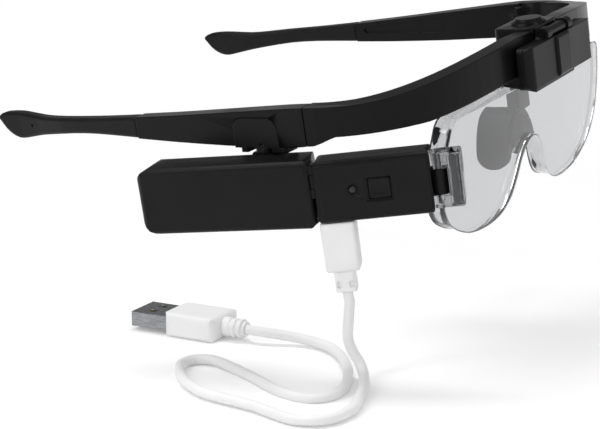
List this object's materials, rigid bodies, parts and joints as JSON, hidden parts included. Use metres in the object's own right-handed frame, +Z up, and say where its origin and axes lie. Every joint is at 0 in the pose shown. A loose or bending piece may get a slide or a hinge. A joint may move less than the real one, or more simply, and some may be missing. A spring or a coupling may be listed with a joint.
{
  "type": "lighted head magnifier",
  "caption": "Glasses-style head magnifier with a flip-up clear lens, folding temples and a hinged, swivelling rechargeable lamp with its charging cable.",
  "frame": {"origin": "top of the nose under the nose pad's saddle, on the plane of symmetry of the frame", "axes": "+Z up, -Y the way the wearer looks, +X to the wearer's left; the temples run back along +Y and the lamp hangs under the right temple at -X"},
  "size_m": [0.1877, 0.1678, 0.0854],
  "materials": {
    "frame_plastic": "satin moulded black",
    "tip_plastic": "soft satin black",
    "bridge_plastic": "satin black",
    "lamp_plastic": "fine textured black",
    "steel": "bright",
    "pad_rubber": "matt grey silicone",
    "clear_lens": "polished clear acrylic",
    "clear_lamp": "clear",
    "cell_wrap": "foil pouch",
    "foam": "open foam",
    "contacts": "plated",
    "board": "solder mask",
    "led": "phosphor",
    "cord_vinyl": "satin white",
    "tongue_plastic": "moulded"
  },
  "bodies": {
    "frame": {"frame_front": "frame_plastic", "hinge_screw_right": "steel", "hinge_screw_left": "steel", "bridge_housing": "bridge_plastic", "bridge_screws": "steel", "release_spring": "steel", "nose_pad_arm": "bridge_plastic", "nose_pad_screw": "steel", "nose_pad": "pad_rubber"},
    "release_button": {"release_button": "bridge_plastic", "release_clip": "steel"},
    "lens_unit": {"holder_front": "frame_plastic", "holder_back": "frame_plastic", "holder_screws": "steel", "flip_pin": "steel", "lens": "clear_lens"},
    "temple_left": {"temple_left": "frame_plastic", "temple_tip_left": "tip_plastic"},
    "temple_right": {"temple_right": "frame_plastic", "temple_tip_right": "tip_plastic", "swivel_shoe": "lamp_plastic", "shoe_screws": "steel", "swivel_washer": "steel"},
    "battery_box": {"battery_cover": "lamp_plastic", "battery_base": "lamp_plastic", "battery_screws": "steel", "battery_cell": "cell_wrap", "cell_pad": "foam", "cell_tabs": "contacts", "swivel_screw": "steel", "arm_pin": "steel"},
    "lamp_arm": {"arm_cover": "lamp_plastic", "arm_base": "lamp_plastic", "arm_screws": "steel", "control_board": "board", "charge_socket": "steel", "tact_switch": "steel", "indicator_pipe": "clear_lamp", "indicator_led": "led", "head_pin": "steel", "plug_shell": "steel", "plug_body": "cord_vinyl", "plug_relief": "cord_vinyl", "charge_cord": "cord_vinyl", "usb_neck": "cord_vinyl", "usb_body": "cord_vinyl", "usb_shell": "steel", "usb_tongue": "tongue_plastic", "usb_contacts": "contacts"},
    "power_button": {"power_button": "lamp_plastic"},
    "light_head": {"light_head": "clear_lamp", "led_board": "board", "led_chips": "led"}
  },
  "joints": [
    {"name": "left_temple_fold", "type": "hinge", "parent": "frame", "child": "temple_left", "pos_m": [0.0666, 0.02165, 0.015], "axis": [0, 0, 1], "range_deg": [0, 88]},
    {"name": "right_temple_fold", "type": "hinge", "parent": "frame", "child": "temple_right", "pos_m": [-0.0666, 0.02165, 0.015], "axis": [0, 0, 1], "range_deg": [-80, 0]},
    {"name": "lens_flip", "type": "hinge", "parent": "frame", "child": "lens_unit", "pos_m": [0, -0.0206, 0.0246], "axis": [1, 0, 0], "range_deg": [-90, 0]},
    {"name": "release_press", "type": "slide", "parent": "frame", "child": "release_button", "axis": [0, 0, -1], "range_m": [0, 0.0012], "stiffness_N_per_m": 800, "springref_m": -0.0005, "deforming": ["release_spring"]},
    {"name": "lamp_swivel", "type": "hinge", "parent": "temple_right", "child": "battery_box", "pos_m": [-0.06918, 0.037, 0.007], "axis": [0, 0, 1], "range_deg": [-40, 0]},
    {"name": "arm_hinge", "type": "hinge", "parent": "battery_box", "child": "lamp_arm", "pos_m": [-0.076, 0.01909, 0.001], "axis": [0, 0, 1], "range_deg": [-16, 0]},
    {"name": "light_head_turn", "type": "hinge", "parent": "lamp_arm", "child": "light_head", "pos_m": [-0.06102, -0.01135, 0], "axis": [0, 0, 1], "range_deg": [-35, 8]},
    {"name": "power_press", "type": "slide", "parent": "lamp_arm", "child": "power_button", "axis": [0.9135, 0.4067, 0], "range_m": [0, 0.0005], "stiffness_N_per_m": 1500, "springref_m": -0.0003}
  ]
}
